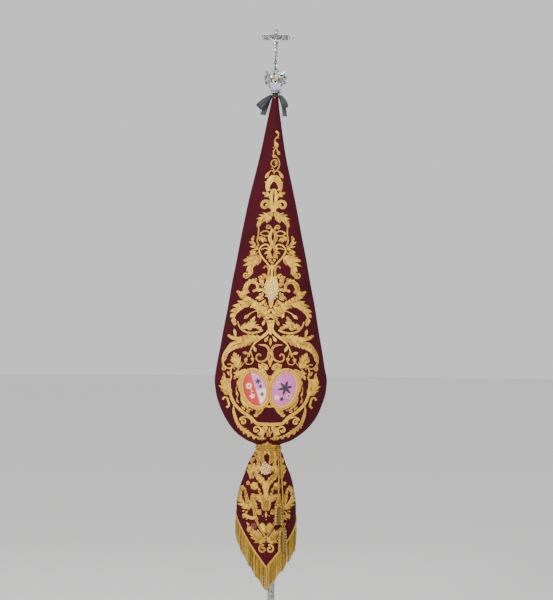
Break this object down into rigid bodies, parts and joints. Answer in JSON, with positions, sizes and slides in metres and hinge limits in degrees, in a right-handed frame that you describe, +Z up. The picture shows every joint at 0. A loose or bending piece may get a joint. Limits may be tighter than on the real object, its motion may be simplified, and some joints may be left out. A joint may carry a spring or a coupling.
{
  "type": "church banner on its pole",
  "caption": "Velvet processional banner gathered round its pole into a drop and tail, with gold embroidery, fringe, tasselled tie, bow and cross finial.",
  "frame": {"origin": "centre of the flat foot of the pole", "axes": "+Z up along the pole, -Y out of the banner's face, +X to the right of someone who looks at the face"},
  "size_m": [0.4466, 0.1544, 2.6998],
  "materials": {
    "velvet": "deep burgundy pile velvet",
    "gold_thread": "metal thread laid and couched, satin gleam",
    "red_field": "silk satin stitch",
    "lilac_field": "silk satin stitch",
    "silver": "polished cast silver plate",
    "chased_silver": "chased silver, darkened in the hollows",
    "steel": "plain drawn rod",
    "black_ribbon": "sheer black ribbon"
  },
  "bodies": {
    "root": {"banner_cloth": "velvet", "medallion_left": "red_field", "medallion_right": "lilac_field", "frame_left": "gold_thread", "frame_right": "gold_thread", "fringe_left": "gold_thread", "fringe_right": "gold_thread", "tie_cord": "gold_thread", "tie_knot": "gold_thread", "cord_end_short": "gold_thread", "cord_end_long": "gold_thread", "tassel_head_short": "gold_thread", "tassel_skirt_short": "gold_thread", "tassel_head_long": "gold_thread", "tassel_skirt_long": "gold_thread", "bow_wrap": "black_ribbon", "bow_loop_left": "black_ribbon", "bow_loop_right": "black_ribbon", "bow_tail_left": "black_ribbon", "bow_tail_right": "black_ribbon", "top_button": "gold_thread", "pole": "chased_silver", "pole_rod": "steel", "pole_ferrule": "silver", "finial_collar": "silver", "finial_basket": "silver", "finial_bowl": "silver", "finial_abacus": "silver", "finial_volute_1": "silver", "finial_volute_2": "silver", "finial_volute_3": "silver", "finial_volute_4": "silver", "cross_base": "silver", "cross_body": "silver", "cross_sleeve_left": "chased_silver", "cross_sleeve_right": "chased_silver", "cross_end_left": "silver", "cross_end_right": "silver", "cross_top_knop": "silver", "cross_figure": "silver"}
  },
  "joints": []
}
